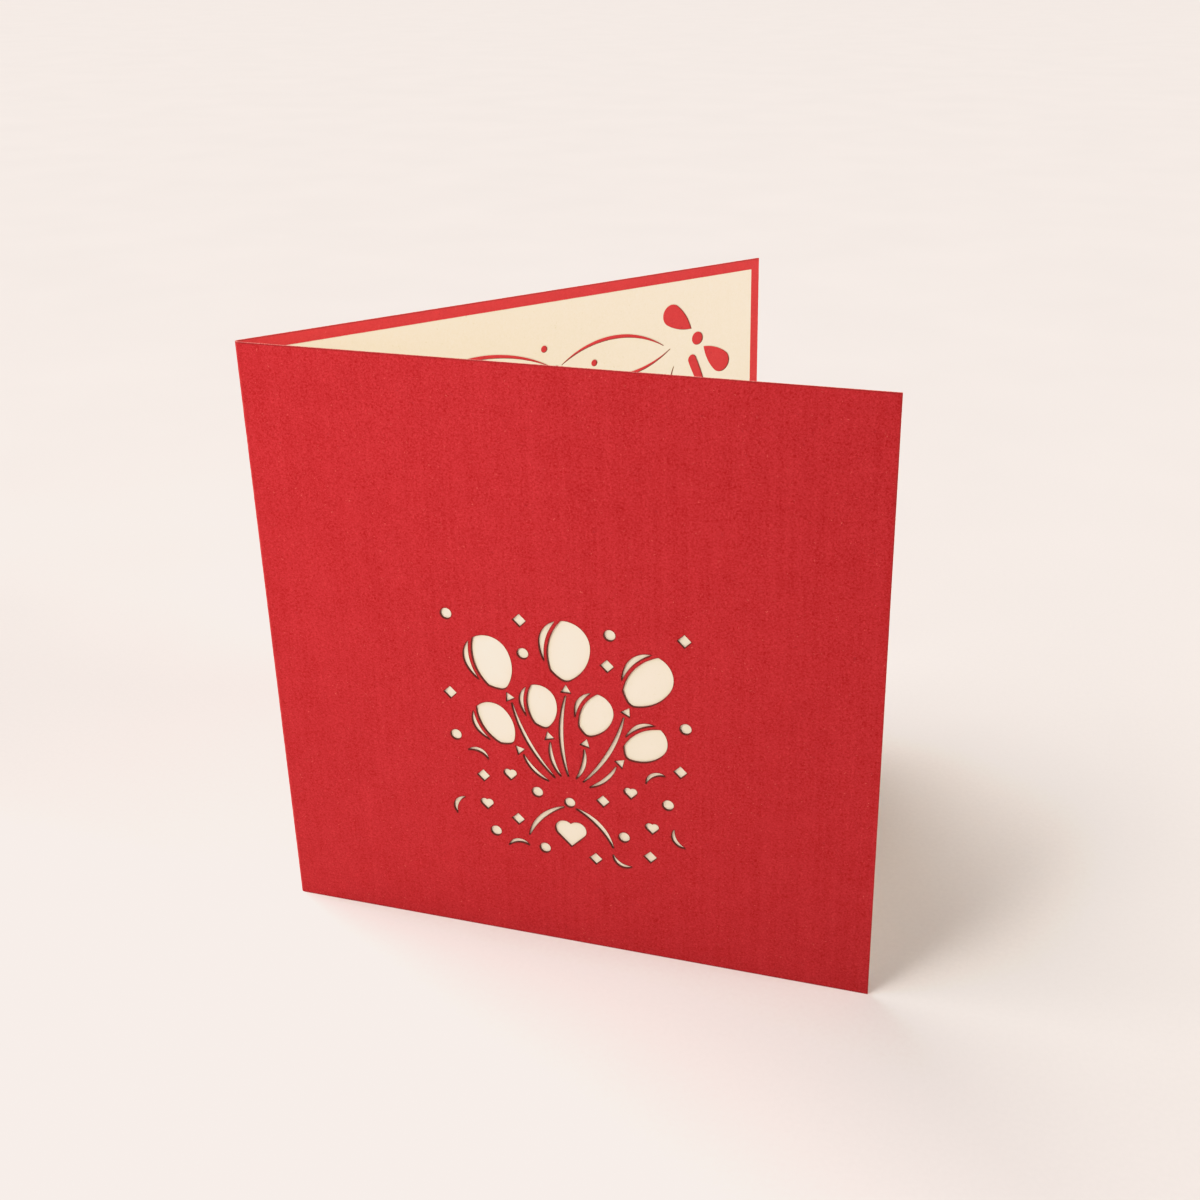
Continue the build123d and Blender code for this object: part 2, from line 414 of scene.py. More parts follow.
    def string_end(self, turn):
        top = -TIE_RADIUS - BRIDGE
        ends = [(0, top), (0, top - STRING_END_LENGTH)]
        if turn < 0:
            ends.reverse()
        self.slot(*ends, STRING_END_BOW, STRING_END_WIDTH)

    def leaf(self, reach, bow, lag):
        self.slot((0, 0), (reach, 0), bow, LEAF_LINE_WIDTH)
        self.slot((reach + lag, -LEAF_SPLIT), (lag, -LEAF_SPLIT), bow, LEAF_LINE_WIDTH)

    def front_windows(self):
        def about_tie(spots):
            return [(TIE[0] + x, TIE[1] + z) for x, z in spots]

        for turn, reach, crown in BALLOONS:
            self.place(self.balloon, TIE, turn, reach, crown, turn >= 0)
        self.place(self.circle, TIE, 0, TIE_RADIUS)
        self.place(self.heart, (TIE[0], TIE[1] - HEART_DROP), 0, HEART_SIDE)
        for turn in STRING_END_TURNS:
            self.place(self.string_end, TIE, turn, turn)
        for spot in about_tie(DOTS):
            self.place(self.circle, spot, 0, DOT_RADIUS)
        for spot in about_tie(DIAMONDS):
            self.place(self.polygon, spot, 0, 4, DIAMOND_SIDE / sqrt(2))
        for spot in about_tie(SMALL_HEARTS):
            self.place(self.heart, spot, 0, SMALL_HEART_SIDE)
        half = CURL_LENGTH / 2
        for x, z, turn in CURLS:
            at = (TIE[0] + x, TIE[1] + z)
            self.place(self.slot, at, turn, (-half, 0), (half, 0), CURL_BOW, CURL_WIDTH)

    def liner_windows(self, blossom):
        def about_blossom(x, z):
            return blossom[0] + x, blossom[1] + z

        self.place(self.circle, blossom, 0, BLOSSOM_EYE_RADIUS)
        for x, z, reach, head, flank, turn in PETALS:
            self.place(self.teardrop, about_blossom(x, z), turn, reach, head, flank)
        for x, z, reach, bow, lag, turn in LEAVES:
            self.place(self.leaf, about_blossom(x, z), turn, reach, bow, lag)
        for x, z in BERRIES:
            self.place(self.circle, about_blossom(x, z), 0, BERRY_RADIUS)


def scorch_and_shade_windows(bm, windows, shading, haze):
    """Marks how dark each cut's rim is: laser browning all round, with painted shade added on the side
    that faces the shading way; also its place and way out.
    """
    scorch = bm.verts.layers.float.new("scorch")
    way_out = bm.verts.layers.float_vector.new("way_out")
    outline_spot = bm.verts.layers.float_vector.new("outline_spot")
    shaded_way = Vector((cos(shading), sin(shading), 0))
    for window in windows:
        for loop in window.loops:
            before, after = loop.link_loop_prev.vert.co, loop.link_loop_next.vert.co
            outward = (after - before).cross(Vector((0, 0, 1))).normalized()
            # Painted shade: a rim that faces the shading way is made darker.
            faces_shade = max(outward.dot(shaded_way), 0.0)
            loop.vert[scorch] = haze + (1 - haze) * faces_shade
            loop.vert[way_out] = outward
            loop.vert[outline_spot] = loop.vert.co
    return scorch, way_out, outline_spot


def draw_in(windows, outline_spot):
    """Holds a rim back in a notch, where its two sides would run over each other."""
    outline = [vert[outline_spot].copy() for window in windows for vert in window.verts]
    near = KDTree(len(outline))
    for number, spot in enumerate(outline):
        near.insert(spot, number)
    near.balance()
    for window in windows:
        for vert in window.verts:
            start = vert[outline_spot].copy()
            way = vert.co - start
            while way.length > NARROWEST_RIM:
                if near.find(start + way)[2] >= OWN_SPOT * way.length:
                    break
                way *= STEP_BACK
            vert.co = start + way


def cut_flat_sheet(bm, laser, shading, haze, start, reach, foot, top):
    """Turns the drawn cut lines into a flat sheet with open windows, each inside a rim of laser
    browning and painted shade.
    """
    bmesh.ops.remove_doubles(bm, verts=bm.verts, dist=laser.chord_error / MM / 2)
    windows = bmesh.ops.edgeloop_fill(bm, edges=bm.edges)["faces"]
    for window in windows:
        window.normal_update()
        if window.normal.z < 0:
            window.normal_flip()
    open_area = sum(window.calc_area() for window in windows)
    scorch, way_out, outline_spot = scorch_and_shade_windows(bm, windows, shading, haze)
    bmesh.ops.inset_region(
        bm,
        faces=windows,
        use_boundary=True,
        use_even_offset=False,
        thickness=-laser.rim_width / MM,
    )
    draw_in(windows, outline_spot)
    rims = []
    for window in windows:
        rims.extend(window.edges)
        for vert in window.verts:
            vert[scorch] = 0.0
            vert[way_out] = (0, 0, 0)
    bmesh.ops.delete(bm, geom=windows, context="FACES_ONLY")
    around = ((start, foot), (reach, foot), (reach, top), (start, top))
    corners = [bm.verts.new((x, y, 0)) for x, y in around]
    border = [bm.edges.new((corners[i - 1], corners[i])) for i in range(4)]
    bmesh.ops.triangle_fill(bm, edges=border + rims, use_beauty=True, normal=(0, 0, 1))
    bm.normal_update()
    bmesh.ops.reverse_faces(bm, faces=[face for face in bm.faces if face.normal.z < 0])
    left_over = (reach - start) * (top - foot) - open_area
    filled = sum(face.calc_area() for face in bm.faces)
    if abs(filled - left_over) > FILL_ERROR:
        raise RuntimeError(f"the sheet's fill covers {filled:.2f} mm2 and not {left_over:.2f}")


def fold_start(sizes):
    """From the crest of the fold to where a panel's flat starts, which is the cover's outer radius."""
    return sizes.fold_inside_radius + sizes.liner_thickness + sizes.cover_thickness


def fold_axis(sizes):
    """Where the axis of the fold stands on the ground."""
    radius = fold_start(sizes)
    return Vector((cover_low.x + radius, cover_low.y + radius, cover_low.z))


def with_corners(faces):
    """The faces with their edges and vertices."""
    edges = dict.fromkeys(edge for face in faces for edge in face.edges)
    verts = dict.fromkeys(vert for edge in edges for vert in edge.verts)
    return [*faces, *edges, *verts]


def cut_across(bm, point, normal, geom=None):
    bmesh.ops.bisect_plane(
        bm,
        geom=geom or bm.verts[:] + bm.edges[:] + bm.faces[:],
        dist=TOUCHING / 100,
        plane_co=point,
        plane_no=normal,
    )


def mark_wear(bm, start, reach, foot, top, axis_height, bend, free_end):
    """Marks the trimmed edges and the crest of the fold, where handling rubs the sheet."""
    edge = bm.verts.layers.float.new("edge")
    fold = bm.verts.layers.float.new("fold")
    for vert in bm.verts:
        x, y, z = vert.co
        at_border = min(y - foot, top - y) < TOUCHING
        on_drawn_panel = abs(z) < 1.0
        at_free_edge = abs(x - reach) < TOUCHING and on_drawn_panel
        vert[edge] = 1.0 if at_border or at_free_edge or vert in free_end else 0.0
        turned = atan2(start - x, (axis_height - z) * copysign(1, axis_height)) / abs(bend)
        vert[fold] = sin(pi * min(max(turned, 0.0), 1.0)) ** 2


def folded_sheet(
    name, context, draw, cut, foot, top, reach, thickness, axis_height, bend, place, materials
):
    """Cuts the drawn panel, gives it thickness, bends the fold and runs out the plain panel."""
    sizes, laser = context.scene.card_sizes, context.scene.laser_cut
    start = fold_start(sizes) / MM
    bm = bmesh.new()
    draw(LaserPath(bm, laser))
    shading, haze, lean = cut
    cut_flat_sheet(bm, laser, shading, haze, start, reach, foot, top)
    for point, normal in (
        ((0, foot + EDGE_BAND, 0), (0, 1, 0)),
        ((0, top - EDGE_BAND, 0), (0, 1, 0)),
        ((reach - EDGE_BAND, 0, 0), (1, 0, 0)),
    ):
        cut_across(bm, point, normal)

    # Thickness, behind the drawn face
    rear = bm.verts.layers.float.new("rear")
    lifted = bmesh.ops.extrude_face_region(bm, geom=bm.faces[:])["geom"]
    rear_verts = [g for g in lifted if isinstance(g, bmesh.types.BMVert)]
    bmesh.ops.translate(bm, verts=rear_verts, vec=(0, 0, -thickness))
    way_out = bm.verts.layers.float_vector["way_out"]
    for vert in rear_verts:
        vert[rear] = 1.0
        vert.co -= vert[way_out] * (lean / MM)
    bm.verts.layers.float_vector.remove(way_out)
    bm.normal_update()
    hinge = []
    for face in bm.faces:
        middle = face.calc_center_median()
        if abs(face.normal.z) > 0.5:
            face.material_index = FACE
        elif min(middle.y - foot, top - middle.y, reach - middle.x) < TOUCHING:
            face.material_index = CUT_EDGE
        elif middle.x < start + TOUCHING:
            hinge.append(face)
        else:
            face.material_index = WINDOW_WALL
            face.smooth = True
    drawn = set(bm.faces) - set(hinge)

    # The fold: the hinge end swings round the fold's axis
    swung = bmesh.ops.spin(
        bm,
        geom=with_corners(hinge),
        cent=(start, 0, axis_height),
        axis=(0, 1, 0),
        angle=bend,
        steps=sizes.fold_steps,
    )["geom_last"]
    folded = set(bm.faces) - drawn
    last = [g for g in swung if isinstance(g, bmesh.types.BMFace)]
    for face in folded - set(last):
        face.smooth = True

    # The plain panel
    run = Matrix.Rotation(bend, 3, "Y") @ Vector((-1, 0, 0))
    grown = bmesh.ops.extrude_face_region(bm, geom=with_corners(last))["geom"]
    end = [g for g in grown if isinstance(g, bmesh.types.BMVert)]
    bmesh.ops.translate(bm, verts=end, vec=run * (reach - start))
    plain = [face for face in bm.faces if face not in drawn and face not in folded]
    cut_across(bm, end[0].co - run * EDGE_BAND, run, with_corners(plain))
    for face in plain:
        if face.is_valid:
            face.smooth = False
    bm.normal_update()
    for face in set(bm.faces) - drawn:
        at_end = abs(face.normal.dot(run)) > 0.9 and not face.smooth
        face.material_index = CUT_EDGE if at_end or abs(face.normal.y) > 0.5 else FACE

    free_end = {v for v in bm.verts if abs((v.co - end[0].co).dot(run)) < TOUCHING}
    mark_wear(bm, start, reach, foot, top, axis_height, bend, free_end)
    bmesh.ops.transform(bm, matrix=place @ Matrix.Scale(MM, 4), verts=bm.verts)
    bmesh.ops.recalc_face_normals(bm, faces=bm.faces)
    for edge in bm.edges:
        edge.smooth = edge.calc_face_angle(0) < radians(30)
    if any(not edge.is_manifold for edge in bm.edges):
        raise RuntimeError(f"{name} is not closed")
    mesh = bpy.data.meshes.new(name)
    bm.to_mesh(mesh)
    bm.free()
    for material in materials:
        mesh.materials.append(material)
    sheet = bpy.data.objects.new(name, mesh)
    context.scene.collection.objects.link(sheet)
    return sheet


def put(tree, kind, inputs=None, **settings):
    """Adds a node, with its settings, and sets or links its inputs by name or number."""
    node = tree.nodes.new(kind)
    node.location = (200 * len(tree.nodes), 0)
    for name, value in settings.items():
        setattr(node, name, value)
    for name, value in (inputs or {}).items():
        if isinstance(value, bpy.types.NodeSocket):
            tree.links.new(value, node.inputs[name])
        else:
            node.inputs[name].default_value = value
    return node


def blend_colours(tree, factor, first, second, blend_type="MIX"):
    node = put(
        tree, "ShaderNodeMix", {0: factor, 6: first, 7: second}, data_type="RGBA", blend_type=blend_type
    )
    return node.outputs[2]


def window_of(tree, value, low, high, to_low=0.0, to_high=1.0, smooth=False):
    """Spreads the part of a value between low and high over a new range."""
    node = put(
        tree,
        "ShaderNodeMapRange",
        {"Value": value, "From Min": low, "From Max": high, "To Min": to_low, "To Max": to_high},
        interpolation_type="SMOOTHSTEP" if smooth else "LINEAR",
    )
    return node.outputs["Result"]


def sums(tree, operation, first, second):
    """One arithmetic step between two values."""
    return put(tree, "ShaderNodeMath", {0: first, 1: second}, operation=operation).outputs[0]


def new_group(name, inputs, outputs):
    """Node group whose sockets are made from (kind, name, default) and plain names."""
    tree = bpy.data.node_groups.new(name, "ShaderNodeTree")
    for kind, socket_name, default in inputs:
        socket = tree.interface.new_socket(socket_name, in_out="INPUT", socket_type=kind)
        if default is not None:
            socket.default_value = default
    for socket_name in outputs:
        tree.interface.new_socket(socket_name, in_out="OUTPUT", socket_type="NodeSocketFloat")
    return tree, put(tree, "NodeGroupInput").outputs


def paper_stock_group():
    """Felt, mottling, laid lines and stray fibres of paper or card; positions in millimetres."""
    tree, given = new_group(
        "paper_stock",
        [
            ("NodeSocketVector", "Position", None),
            ("NodeSocketFloat", "Felt size", 0.4),
            ("NodeSocketFloat", "Line width", 1.2),
        ],
        ["Felt", "Mottle", "Lines", "Pale fibres", "Dark fibres"],
    )
    felt_scale = sums(tree, "DIVIDE", 1.0, given["Felt size"])
    line_scale = sums(tree, "DIVIDE", 1.0, given["Line width"])
    felt = put(
        tree,
        "ShaderNodeTexNoise",
        {
            "Vector": given["Position"],
            "Scale": felt_scale,
            "Detail": 3.0,
            "Roughness": 0.65,
            "Distortion": 0.8,
        },
    ).outputs["Fac"]
    mottle = put(
        tree,
        "ShaderNodeTexNoise",
        {"Vector": given["Position"], "Scale": 0.16, "Detail": 4.0, "Roughness": 0.55},
    ).outputs["Fac"]
    tall = put(
        tree, "ShaderNodeMapping", {"Vector": given["Position"], "Scale": (1.0, 1.0, 0.025)}
    ).outputs["Vector"]
    lines = put(
        tree, "ShaderNodeTexNoise", {"Vector": tall, "Scale": line_scale, "Detail": 1.0}
    ).outputs["Fac"]
    tree_out = {"Felt": felt, "Mottle": mottle, "Lines": lines}
    for name, offset, scale in (("Pale fibres", 37.0, 2.2), ("Dark fibres", 81.0, 1.6)):
        moved = put(
            tree,
            "ShaderNodeMapping",
            {"Vector": given["Position"], "Location": (offset, -offset, offset / 2)},
        ).outputs["Vector"]
        specks = put(
            tree,
            "ShaderNodeTexNoise",
            {"Vector": moved, "Scale": scale, "Detail": 1.0, "Distortion": 1.2},
        ).outputs["Fac"]
        tree_out[name] = window_of(tree, specks, 0.71, 0.79, smooth=True)
    put(tree, "NodeGroupOutput", tree_out)
    return tree


def scorched_and_shaded_rim_group():
    """How much the face beside a window is darkened: laser browning, with painted shade on one side."""
    tree, given = new_group(
        "laser_scorch",
        [
            ("NodeSocketVector", "Position", None),
            ("NodeSocketFloat", "Rim", 0.0),
            ("NodeSocketFloat", "Strength", 0.7),
        ],
        ["Burn"],
    )
    patchy = put(
        tree, "ShaderNodeTexNoise", {"Vector": given["Position"], "Scale": 1.1, "Detail": 2.0}
    ).outputs["Fac"]
    reach = window_of(tree, patchy, *NOISE, 0.15, 0.0)
    darkening = put(
        tree,
        "ShaderNodeMapRange",
        {"Value": given["Rim"], "From Min": reach, "From Max": 0.5},
        interpolation_type="SMOOTHSTEP",
    ).outputs["Result"]
    put(tree, "NodeGroupOutput", {"Burn": sums(tree, "MULTIPLY", darkening, given["Strength"])})
    return tree


def handled_edge_group():
    """Where the outer edges are singed, and where handling has rubbed the fold."""
    tree, given = new_group(
        "handled_edge",
        [
            ("NodeSocketVector", "Position", None),
            ("NodeSocketFloat", "Edge", 0.0),
            ("NodeSocketFloat", "Fold", 0.0),
        ],
        ["Rub", "Singe"],
    )
    patchy = put(
        tree, "ShaderNodeTexNoise", {"Vector": given["Position"], "Scale": 0.7, "Detail": 3.0}
    ).outputs["Fac"]
    spread = window_of(tree, patchy, 0.38, 0.72)
    rub = sums(tree, "MULTIPLY", given["Fold"], spread)
    edge = window_of(tree, given["Edge"], 0.1, 0.6)
    singe = sums(tree, "MULTIPLY", edge, window_of(tree, patchy, *NOISE, 1.0, 0.7))
    put(tree, "NodeGroupOutput", {"Rub": rub, "Singe": singe})
    return tree


def shared_group(name, make):
    return bpy.data.node_groups.get(name) or make()


def positions(tree):
    """Object coordinates in millimetres."""
    coordinates = put(tree, "ShaderNodeTexCoord").outputs["Object"]
    mapped = put(tree, "ShaderNodeMapping", {"Vector": coordinates, "Scale": (1 / MM,) * 3})
    return mapped.outputs["Vector"]


def attribute(tree, name):
    return put(tree, "ShaderNodeAttribute", attribute_name=name).outputs["Fac"]


def new_material(name):
    """Material with an empty Principled BSDF wired to its output."""
    material = bpy.data.materials.new(name)
    material.use_nodes = True
    tree = material.node_tree
    tree.nodes.clear()
    surface = put(tree, "ShaderNodeBsdfPrincipled")
    put(tree, "ShaderNodeOutputMaterial", {"Surface": surface.outputs["BSDF"]})
    return material, tree, surface


def sheet_face_material(name, finish, main, dense, rear, felt_size, line_width, felt_depth):
    """Face of a sheet: felt, faint laid lines, mottling, browned rims with painted shade on one side,
    singed edges, rubbed fold, and a rear colour that on the cover is painted brighter for light.
    """
    material, tree, surface = new_material(name)
    position = positions(tree)
    stock = put(
        tree,
        "ShaderNodeGroup",
        node_tree=shared_group("paper_stock", paper_stock_group),
    )
    tree.links.new(position, stock.inputs["Position"])
    stock.inputs["Felt size"].default_value = felt_size
    stock.inputs["Line width"].default_value = line_width
    cloud = window_of(tree, stock.outputs["Mottle"], *NOISE)
    grain = window_of(tree, stock.outputs["Felt"], 0.31, 0.69)
    ribs = window_of(tree, stock.outputs["Lines"], *NOISE)
    tone = sums(tree, "MULTIPLY", cloud, CLOUD_SHARE)
    tone = sums(tree, "ADD", tone, sums(tree, "MULTIPLY", grain, FELT_SHARE))
    tone = sums(tree, "ADD", tone, sums(tree, "MULTIPLY", ribs, LINE_SHARE))
    shade = blend_colours(tree, tone, dense, main)
    # The rear face takes the rear colour; on the cover that is a red painted brighter for the light on
    # its inner face.
    rear_share = window_of(tree, tone, 0.0, 1.0, 0.75, 1.0)
    inner = sums(tree, "MULTIPLY", attribute(tree, "rear"), rear_share)
    shade = blend_colours(tree, inner, shade, rear)
    pale = sums(tree, "MULTIPLY", stock.outputs["Pale fibres"], PALE_FIBRE_SHARE)
    shade = blend_colours(tree, pale, shade, finish.pale_fibre)
    dark = sums(tree, "MULTIPLY", stock.outputs["Dark fibres"], DARK_FIBRE_SHARE)
    shade = blend_colours(tree, dark, shade, finish.dark_fibre)
    handled = put(
        tree, "ShaderNodeGroup", node_tree=shared_group("handled_edge", handled_edge_group)
    )
    tree.links.new(position, handled.inputs["Position"])
    tree.links.new(attribute(tree, "edge"), handled.inputs["Edge"])
    tree.links.new(attribute(tree, "fold"), handled.inputs["Fold"])
    rubbed = sums(tree, "MULTIPLY", handled.outputs["Rub"], RUBBED_SHARE)
    shade = blend_colours(tree, rubbed, shade, finish.core)
    singed = sums(tree, "MULTIPLY", handled.outputs["Singe"], finish.edge_singe)
    shade = blend_colours(tree, singed, shade, finish.scorched)
    # Rims of the cuts: laser browning all round, with painted shade on one side.
    darkened_rim = put(
        tree, "ShaderNodeGroup", node_tree=shared_group("laser_scorch", scorched_and_shaded_rim_group)
    )
    tree.links.new(position, darkened_rim.inputs["Position"])
    tree.links.new(attribute(tree, "scorch"), darkened_rim.inputs["Rim"])
    darkened_rim.inputs["Strength"].default_value = finish.rim_scorch_and_shade
    shade = blend_colours(tree, darkened_rim.outputs["Burn"], shade, finish.scorched)
    tree.links.new(shade, surface.inputs["Base Color"])
    tree.links.new(window_of(tree, tone, 0.0, 1.0, 0.86, 0.72), surface.inputs["Roughness"])
    surface.inputs["Specular IOR Level"].default_value = 0.2
    raised_lines = sums(tree, "MULTIPLY", stock.outputs["Lines"], 0.35)
    height = sums(tree, "ADD", stock.outputs["Felt"], raised_lines)
    bump = put(
        tree, "ShaderNodeBump", {"Height": height, "Strength": 0.5, "Distance": felt_depth}
    ).outputs["Normal"]
    tree.links.new(bump, surface.inputs["Normal"])
    return material


def cut_edge_material(name, core, face_colour):
    """Trimmed edge: the sheet's core with the face colour carried over it in streaks."""
    material, tree, surface = new_material(name)
    position = positions(tree)
    streaks = put(
        tree, "ShaderNodeTexNoise", {"Vector": position, "Scale": 2.5, "Detail": 3.0}
    ).outputs["Fac"]
    shade = blend_colours(tree, window_of(tree, streaks, 0.35, 0.65), core, face_colour)
    tree.links.new(shade, surface.inputs["Base Color"])
    tree.links.new(window_of(tree, streaks, *NOISE, 0.8, 0.95), surface.inputs["Roughness"])
    bump = put(
        tree, "ShaderNodeBump", {"Height": streaks, "Strength": 0.6, "Distance": 0.00003}
    ).outputs["Normal"]
    tree.links.new(bump, surface.inputs["Normal"])
    return material


def scorched_wall_material(name, scorched, face_colour):
    """Wall of a window: charred brown, with the sheet's own colour in patches, and a little more of it
    on walls away from the painted shade.
    """
    material, tree, surface = new_material(name)
    position = positions(tree)
    char = put(
        tree, "ShaderNodeTexNoise", {"Vector": position, "Scale": 1.8, "Detail": 4.0}
    ).outputs["Fac"]
    bare = window_of(tree, char, 0.4, 0.8, 0.05, 0.4)
    # Walls away from the painted shade are painted lighter, with some of the sheet's colour.
    away_from_shade = window_of(tree, attribute(tree, "scorch"), 0.4, 0.8, 0.15, 0.0)
    amount = sums(tree, "MAXIMUM", bare, away_from_shade)
    tree.links.new(blend_colours(tree, amount, scorched, face_colour), surface.inputs["Base Color"])
    tree.links.new(window_of(tree, char, *NOISE, 0.75, 0.95), surface.inputs["Roughness"])
    return material


class CARD_OT_build_cover(bpy.types.Operator):
    """Cuts the windows in the red card, folds it and gives it its finish"""

    bl_idname = "card.build_cover"
    bl_label = "Build cover"

    def execute(self, context):
        sizes = context.scene.card_sizes
        laser = context.scene.laser_cut
        finish = context.scene.cover_finish
        place = Matrix.Translation(cover_low[:]) @ Matrix.Rotation(pi / 2, 4, "X")
        materials = (
            sheet_face_material(
                "red_card",
                finish,
                main=finish.red,
                dense=finish.deep_red,
                rear=finish.lit_inside_red,
                felt_size=0.46,
                line_width=1.2,
                felt_depth=0.00003,
            ),
            cut_edge_material("red_card_cut_edge", finish.core, finish.red),
            scorched_wall_material("red_card_scorched_wall", finish.scorched, finish.deep_red),
        )
        cover = folded_sheet(
            "red_cover",
            context,
            LaserPath.front_windows,
            cut=(laser.cover_shading, laser.cover_haze, laser.cover_lean),
            foot=0.0,
            top=sizes.panel_height / MM,
            reach=sizes.panel_width / MM,
            thickness=sizes.cover_thickness / MM,
            axis_height=-fold_start(sizes) / MM,
            bend=sizes.opening_angle - pi,
            place=place,
            materials=materials,
        )
        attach(cover, "root")
        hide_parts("cover")
        return {"FINISHED"}


class CARD_OT_build_liner(bpy.types.Operator):
    """Cuts the ornament in the cream paper, folds it and gives it its finish"""

    bl_idname = "card.build_liner"
    bl_label = "Build liner"

    def execute(self, context):
        sizes = context.scene.card_sizes
        laser = context.scene.laser_cut
        finish = context.scene.liner_finish
        angle = sizes.opening_angle
        run = Vector((cos(angle), sin(angle), 0))
        inward = Vector((sin(angle), -cos(angle), 0))
        origin = fold_axis(sizes) - inward * sizes.fold_inside_radius - run * fold_start(sizes)
        place = Matrix((run, (0, 0, 1), inward)).transposed().to_4x4()
        place.translation = origin
        width, height = sizes.panel_width / MM, sizes.panel_height / MM
        margin = sizes.liner_margin / MM
        blossom = (width - BLOSSOM_FROM_FREE_EDGE, height - BLOSSOM_FROM_TOP)
        materials = (
            sheet_face_material(
                "cream_paper",
                finish,
                main=finish.cream,
                dense=finish.warm_cream,
                rear=finish.cream,
                felt_size=0.6,
                line_width=1.6,
                felt_depth=0.000015,
            ),
            cut_edge_material("cream_paper_cut_edge", finish.core, finish.cream),
            scorched_wall_material("cream_paper_scorched_wall", finish.scorched, finish.warm_cream),
        )
        liner = folded_sheet(
            "cream_liner",
            context,
            lambda path: path.liner_windows(blossom),
            cut=(laser.liner_shading, laser.liner_haze, laser.liner_lean),
            foot=margin,
            top=height - margin,
            reach=width - margin,
            thickness=sizes.liner_thickness / MM,
            axis_height=sizes.fold_inside_radius / MM,
            bend=pi - angle,
            place=place,
            materials=materials,
        )
        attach(liner, "root")
        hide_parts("liner")
        return {"FINISHED"}


def add_light(context, name, kind, energy, azimuth, elevation, spot=(0, 0, 1)):
    """Adds a light that shines from an azimuth, in degrees from +X, and an elevation."""
    lamp = bpy.data.lights.new(name, kind)
    lamp.energy = energy
    lamp.color = context.scene.studio_light.light[:3]
    light = bpy.data.objects.new(name, lamp)
    light.rotation_euler = (radians(90 - elevation), 0, radians(azimuth + 90))
    light.location = spot
    context.scene.collection.objects.link(light)
    return lamp


def hold_highlights(view, white):
    """Rolls bright tones off into the warm white of an overexposed sweep."""
    view.view_transform = "Standard"
    view.use_curve_mapping = True
    tones = view.curve_mapping
    tones.use_clip = False
    tones.extend = "HORIZONTAL"
    for curve, top in zip(tones.curves, white[:3]):
        shoulder = SHOULDER * top
        curve.points[1].location = (shoulder, shoulder)
        curve.points.new(2 * top - shoulder, top)
        for point in curve.points:
            point.handle_type = "VECTOR"
    tones.update()


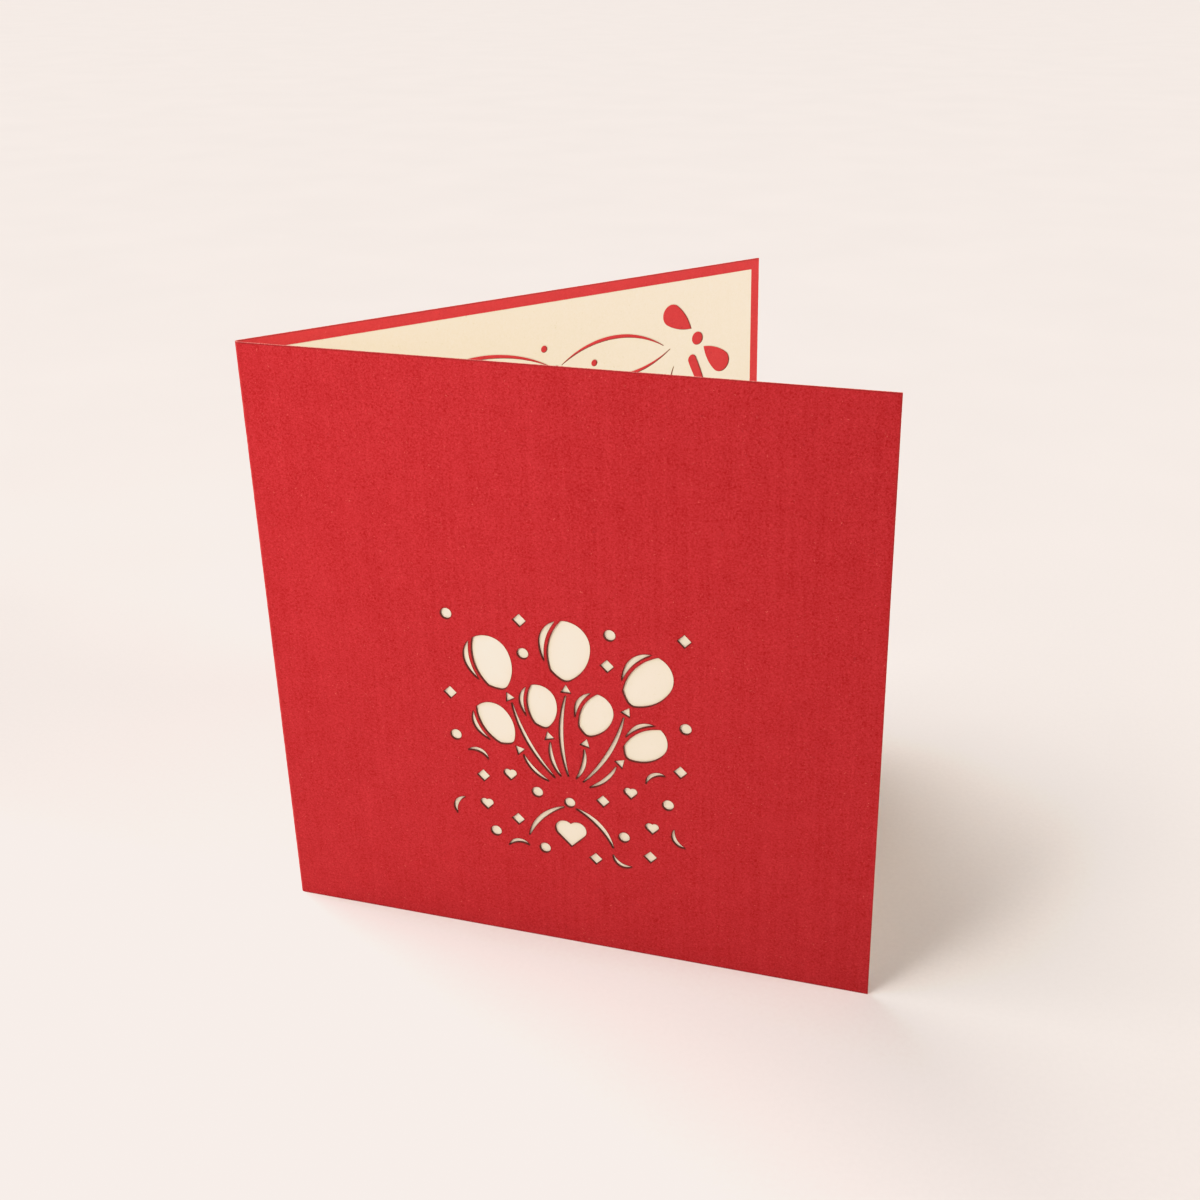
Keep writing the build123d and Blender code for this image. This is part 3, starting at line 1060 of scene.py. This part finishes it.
class CARD_OT_build_studio(bpy.types.Operator):
    """Lays the pale floor, sets the soft light and places the camera"""

    bl_idname = "card.build_studio"
    bl_label = "Build studio"

    def execute(self, context):
        studio = context.scene.studio_light
        bm = bmesh.new()
        bmesh.ops.create_grid(bm, x_segments=1, y_segments=1, size=FLOOR_REACH)
        mesh = bpy.data.meshes.new("studio_floor")
        bm.to_mesh(mesh)
        bm.free()
        material, tree, surface = new_material("seamless_floor")
        position = positions(tree)
        haze = put(
            tree, "ShaderNodeTexNoise", {"Vector": position, "Scale": 0.01, "Detail": 2.0}
        ).outputs["Fac"]
        tooth = put(
            tree, "ShaderNodeTexNoise", {"Vector": position, "Scale": 0.9, "Detail": 3.0}
        ).outputs["Fac"]
        mixed = sums(tree, "MULTIPLY", sums(tree, "ADD", haze, tooth), 0.5)
        darker = [c * FLOOR_PATCHES for c in studio.floor[:3]] + [1.0]
        shade = blend_colours(tree, window_of(tree, mixed, 0.35, 0.65), darker, studio.floor)
        tree.links.new(shade, surface.inputs["Base Color"])
        surface.inputs["Roughness"].default_value = 0.9
        surface.inputs["Specular IOR Level"].default_value = 0.1
        mesh.materials.append(material)
        floor = bpy.data.objects.new("studio_floor", mesh)
        context.scene.collection.objects.link(floor)

        world = bpy.data.worlds.new("studio")
        context.scene.world = world
        world.use_nodes = True
        tree = world.node_tree
        tree.nodes.clear()
        light = put(
            tree, "ShaderNodeBackground", {"Color": studio.light, "Strength": studio.sky_strength}
        )
        seen = put(
            tree, "ShaderNodeBackground", {"Color": studio.white, "Strength": BACKDROP_STRENGTH}
        )
        ray = put(tree, "ShaderNodeLightPath")
        mixed = put(
            tree,
            "ShaderNodeMixShader",
            {0: ray.outputs["Is Camera Ray"], 1: light.outputs[0], 2: seen.outputs[0]},
        )
        put(tree, "ShaderNodeOutputWorld", {"Surface": mixed.outputs[0]})

        for name, setting, azimuth, elevation, width in BROAD_LAMPS:
            lamp = add_light(context, name, "SUN", getattr(studio, setting), azimuth, elevation)
            lamp.angle = radians(width)
        softbox = add_light(
            context,
            "near_light",
            "AREA",
            studio.near_power,
            SOFTBOX_AZIMUTH,
            SOFTBOX_ELEVATION,
            SOFTBOX_SPOT,
        )
        softbox.shape = "DISK"
        softbox.size = SOFTBOX_WIDTH

        camera = bpy.data.cameras.new("photo_camera")
        camera.sensor_width = SENSOR_WIDTH
        camera.lens = LENS
        camera.shift_x = SHIFT_X
        camera.shift_y = SHIFT_Y
        camera.clip_start = 0.01
        camera.clip_end = 100.0
        viewer = bpy.data.objects.new("photo_camera", camera)
        azimuth, elevation, roll = map(radians, (VIEW_AZIMUTH, VIEW_ELEVATION, VIEW_ROLL))
        back = Vector(
            (sin(azimuth) * cos(elevation), -cos(azimuth) * cos(elevation), sin(elevation))
        )
        viewer.location = Vector((VIEW_ALONG, cover_low.y, VIEW_UP)) + back * VIEW_DISTANCE
        viewer.rotation_mode = "QUATERNION"
        viewer.rotation_quaternion = (-back).to_track_quat("-Z", "Y") @ Quaternion((0, 0, 1), roll)
        context.scene.collection.objects.link(viewer)
        context.scene.camera = viewer
        hold_highlights(context.scene.view_settings, studio.white)
        return {"FINISHED"}


class CARD_PT_sidebar(bpy.types.Panel):
    """Sizes, finishes and steps of the greeting card"""

    bl_idname = "CARD_PT_sidebar"
    bl_label = "Greeting card"
    bl_space_type = "VIEW_3D"
    bl_region_type = "UI"
    bl_category = "Card"

    def draw(self, context):
        for name, group in GROUPS.items():
            box = self.layout.box()
            for setting in group.__annotations__:
                box.prop(getattr(context.scene, name), setting)
        for step in STEPS:
            self.layout.operator(step.bl_idname)


GROUPS = {
    "card_sizes": CardSizes,
    "laser_cut": LaserCut,
    "cover_finish": CoverFinish,
    "liner_finish": LinerFinish,
    "studio_light": StudioLight,
}
STEPS = (CARD_OT_build_cover, CARD_OT_build_liner, CARD_OT_build_studio)


def register():
    for name, group in GROUPS.items():
        bpy.utils.register_class(group)
        setattr(bpy.types.Scene, name, bpy.props.PointerProperty(type=group))
    for cls in (*STEPS, CARD_PT_sidebar):
        bpy.utils.register_class(cls)


def unregister():
    for cls in (CARD_PT_sidebar, *reversed(STEPS)):
        bpy.utils.unregister_class(cls)
    for name, group in reversed(GROUPS.items()):
        delattr(bpy.types.Scene, name)
        bpy.utils.unregister_class(group)


def main():
    register()
    bpy.ops.card.build_cover()
    bpy.ops.card.build_liner()
    bpy.ops.card.build_studio()
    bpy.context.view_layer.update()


if __name__ == "__main__":
    main()
